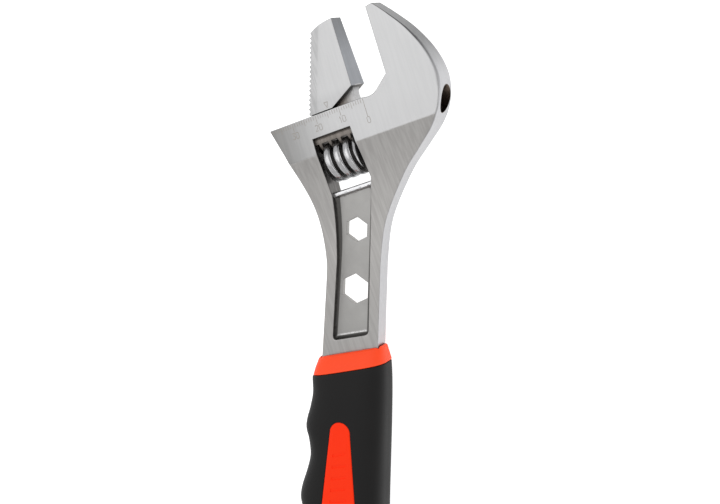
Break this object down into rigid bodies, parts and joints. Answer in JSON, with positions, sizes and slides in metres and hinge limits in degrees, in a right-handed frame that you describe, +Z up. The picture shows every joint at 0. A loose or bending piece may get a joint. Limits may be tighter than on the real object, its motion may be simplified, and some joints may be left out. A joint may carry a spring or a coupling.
{
  "type": "adjustable wrench",
  "caption": "Adjustable wrench with a reversible moving jaw driven by a thumb worm, two hexagon sockets in the shank and a soft moulded grip with finger grooves.",
  "frame": {"origin": "under the middle of the wrench's box, on the surface it lies on", "axes": "lying flat: +Z up through the thickness, +Y along the handle to the head, +X to the side of the fixed jaw"},
  "size_m": [0.0666, 0.2248, 0.0188],
  "materials": {
    "satin_steel": "satin nickel-chrome plate, ground and brushed",
    "polished_steel": "polished crests",
    "dark_steel": "oiled",
    "orange_plastic": "fine matte",
    "black_rubber": "soft matte",
    "hard_plastic": "moulded"
  },
  "bodies": {
    "handle": {"wrench_body": "satin_steel", "worm_pin": "dark_steel", "worm_spring": "dark_steel", "grip_collar": "orange_plastic", "grip_core": "hard_plastic", "grip_skin": "black_rubber", "grip_inlay_front": "orange_plastic", "grip_inlay_back": "orange_plastic"},
    "worm": {"adjusting_worm": "polished_steel"},
    "jaw": {"moving_jaw": "satin_steel"}
  },
  "joints": [
    {"name": "jaw_slide", "type": "slide", "parent": "handle", "child": "jaw", "axis": [-0.9265, -0.3762, 0], "range_m": [-0.0136, 0.0248]},
    {"name": "worm_spin", "type": "hinge", "parent": "handle", "child": "worm", "pos_m": [-0.00374, 0.05652, 0.0094], "axis": [0.9265, 0.3762, 0], "range_deg": [-1226, 2234]}
  ],
  "couplings": [
    {"joint": "worm_spin", "follows": "jaw_slide", "rad_per_m": 1570.8}
  ]
}
